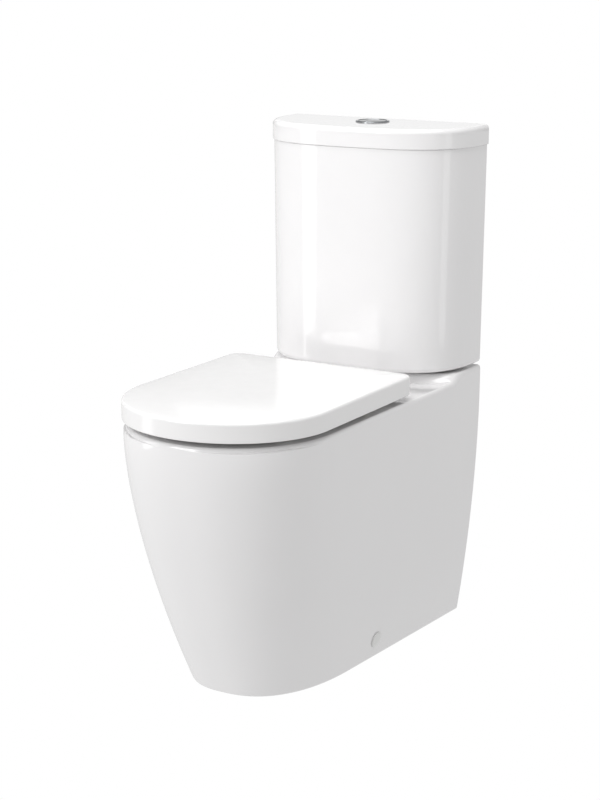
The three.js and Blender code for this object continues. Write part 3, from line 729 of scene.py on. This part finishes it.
def make_buttons():
    low, high = BEZEL_LOW_Z, BEZEL_TOP_Z
    flange = TANK_LID_HIGH_Z + GAP
    profile = [(BEZEL_BORE, low), (BEZEL_NECK, low), (BEZEL_NECK, flange), (BEZEL_FLANGE, flange),
               (BEZEL_FLANGE, flange + 0.9), (26.4, high), (24, high), (BEZEL_BORE, high - 1)]
    bezel = turned("button_bezel_surface", profile, depth=VALVE_DEPTH, segments=128)
    finish_piece(bezel, "cistern_lid", "button_bezel", sharp_deg=30)
    dome = [(0, 821), (BUTTON_RADIUS, 821), (BUTTON_RADIUS, 830.3), (22.3, 831.1), (21.4, 831.6),
            (17, 832.15), (13, 832.45), (7, 832.78), (0, BUTTON_TOP_Z)]
    halves = {"full_flush_button": (BUTTON_SPLIT_X + BUTTON_HALF_GAP, 30, FULL_ROD_X),
              "half_flush_button": (-30, BUTTON_SPLIT_X - BUTTON_HALF_GAP, HALF_ROD_X)}
    for node, (x0, x1, rod_x) in halves.items():
        button = turned(node + "_surface", dome, depth=VALVE_DEPTH, radius=0.0, segments=128)
        share = block("share", (x0, x1), (VALVE_DEPTH - 30, VALVE_DEPTH + 30), (800, 840))
        combine(button, "INTERSECT", share)
        join(button, rod("push_rod", PUSH_ROD_RADIUS, PUSH_ROD_LOW_Z, 822, x=rod_x, depth=VALVE_DEPTH,
                         segments=32))
        finish_piece(button, node, node, sharp_deg=30)


# ---- Fixing caps --------------------------------------------------------------------------


def make_caps():
    """Domed caps square to the skirt, which leans out and draws in towards the front."""
    for side, name in SIDES:
        node = f"fixing_cap_{name}"
        low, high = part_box(node)
        shape, above = pan_shape(BRACKET_Z), pan_shape(BRACKET_Z + 10)
        x = shape["half_width"] * (1 - shape["taper"] * BRACKET_DEPTH / shape["depth"])
        x_above = above["half_width"] * (1 - above["taper"] * BRACKET_DEPTH / above["depth"])
        lean = math.atan((x_above - x) / 10)
        draw = math.atan(shape["half_width"] * shape["taper"] / shape["depth"])
        profile = [(0, -2.4), (8.8, -2.4), (8.8, 0), (CAP_RADIUS, 0), (CAP_RADIUS, 1.3), (12.3, 2.0),
                   (10.5, 2.75), (8, 3.3), (5, 3.72), (2.5, 3.93), (0, 4)]
        cap = turned(node + "_surface", profile, radius=0.0, segments=96)
        about_z = Matrix.Rotation(-side * draw, 4, "Z")
        about_y = Matrix.Rotation(side * (math.pi / 2 + lean), 4, "Y")
        spot = Matrix.Translation((side * x * MM, WALL_Y - BRACKET_DEPTH * MM, BRACKET_Z * MM))
        proud = Matrix.Translation((0, -WALL_Y, 0.4 * MM))
        cap.data.transform(spot @ about_z @ about_y @ proud)
        finish_piece(cap, "fixed", node)


# ---- Other CAD nodes ----------------------------------------------------------------------


def dress_remaining_nodes():
    """The hidden working pieces are copies of their CAD shapes with smooth shading and their finishes."""
    for node, cad in list(frame["nodes"].items()):
        if cad.hide_render:
            continue
        piece = bpy.data.objects.new(node + "_surface", cad.data.copy())
        bpy.context.scene.collection.objects.link(piece)
        finish_piece(piece, BODY_OF[node], node, sharp_deg=35.0)


# ---- Stage, light and camera --------------------------------------------------------------

FLOOR_REACH_M = 8.0
SEEN_WHITE, FLOOR_CAST, WORLD_CAST = 1.0, 0.76, 0.45

# Name, place, aim and size in metres, and watts.
LIGHTS = (
    ("key", (-1.8, -3.9, 2.4), (0, 0, 0.45), (2.2, 2.2), 77),
    ("top", (0.0, -0.4, 3.2), (0, 0, 0.4), (2.4, 2.4), 60),
    ("behind", (-0.44, 1.0, 1.03), (-0.44, 0, 1.03), (0.95, 0.3), 0.34),
    ("left strip", (-0.95, -0.7, 0.62), (0, 0, 0.4), (0.3, 1.1), 1.5),
    ("right strip", (1.9, 0.05, 0.75), (0, 0, 0.5), (0.45, 1.4), 1.4),
)

CAMERA_AZIMUTH, CAMERA_ELEVATION = math.radians(30.326), math.radians(13.662)
CAMERA_PLACE_M = (1.5168, -2.5600, 1.1425)
CAMERA_LENS_MM, CAMERA_SENSOR_MM = 88.1356, 36.0


def seen_or_cast(nodes, links, seen, cast):
    """One strength as the camera sees it and another for the light that it casts."""
    path = nodes.new("ShaderNodeLightPath")
    level = nodes.new("ShaderNodeMapRange")
    level.inputs["To Min"].default_value = cast
    level.inputs["To Max"].default_value = seen
    links.new(path.outputs["Is Camera Ray"], level.inputs["Value"])
    return level.outputs["Result"]


def glow(name, seen, cast):
    """A white glow, as bright as seen to the camera and as cast to everything else."""
    material = bpy.data.materials.new(name)
    material.use_nodes = True
    nodes, links = material.node_tree.nodes, material.node_tree.links
    nodes.clear()
    emission = nodes.new("ShaderNodeEmission")
    emission.inputs["Color"].default_value = (1, 1, 1, 1)
    links.new(seen_or_cast(nodes, links, seen, cast), emission.inputs["Strength"])
    out = nodes.new("ShaderNodeOutputMaterial")
    links.new(emission.outputs["Emission"], out.inputs["Surface"])
    return material


def make_stage():
    far = FLOOR_REACH_M
    floor = make("floor", [(-far, -far, 0), (far, -far, 0), (far, far, 0), (-far, far, 0)], [(0, 1, 2, 3)])
    floor.data.materials.append(glow("pale floor", SEEN_WHITE, FLOOR_CAST))


def area_light(name, place_m, aim_m, size_m, power):
    light = bpy.data.lights.new(name, "AREA")
    light.shape = "RECTANGLE"
    light.size, light.size_y = size_m
    light.energy = power
    obj = bpy.data.objects.new(name, light)
    obj.location = place_m
    obj.rotation_euler = (Vector(aim_m) - Vector(place_m)).to_track_quat("-Z", "Y").to_euler()
    obj.visible_camera = False
    bpy.context.scene.collection.objects.link(obj)


def make_light():
    world = bpy.data.worlds.new("studio")
    bpy.context.scene.world = world
    world.use_nodes = True
    nodes, links = world.node_tree.nodes, world.node_tree.links
    background = nodes["Background"]
    background.inputs["Color"].default_value = (1, 1, 1, 1)
    links.new(seen_or_cast(nodes, links, SEEN_WHITE, WORLD_CAST), background.inputs["Strength"])
    for light in LIGHTS:
        area_light(*light)


def make_camera():
    """The view from 30.3 degrees round to the right and 13.7 degrees above level."""
    level = math.cos(CAMERA_ELEVATION)
    back = Vector((math.sin(CAMERA_AZIMUTH) * level, -math.cos(CAMERA_AZIMUTH) * level,
                   math.sin(CAMERA_ELEVATION)))
    camera = bpy.data.objects.new("camera", bpy.data.cameras.new("camera"))
    camera.data.lens = CAMERA_LENS_MM
    camera.data.sensor_width = CAMERA_SENSOR_MM
    camera.data.dof.use_dof = False
    camera.location = CAMERA_PLACE_M
    camera.rotation_mode = "QUATERNION"
    camera.rotation_quaternion = (-back).to_track_quat("-Z", "Y")
    bpy.context.scene.collection.objects.link(camera)
    bpy.context.scene.camera = camera


bpy.context.scene.view_settings.view_transform = "Standard"
make_camera()
make_light()
make_stage()
make_pan()
make_tank()
make_tank_lid()
make_seat_lid()
make_seat_ring()
make_buffers()
make_hinge_pillars()
make_buttons()
make_caps()
dress_remaining_nodes()
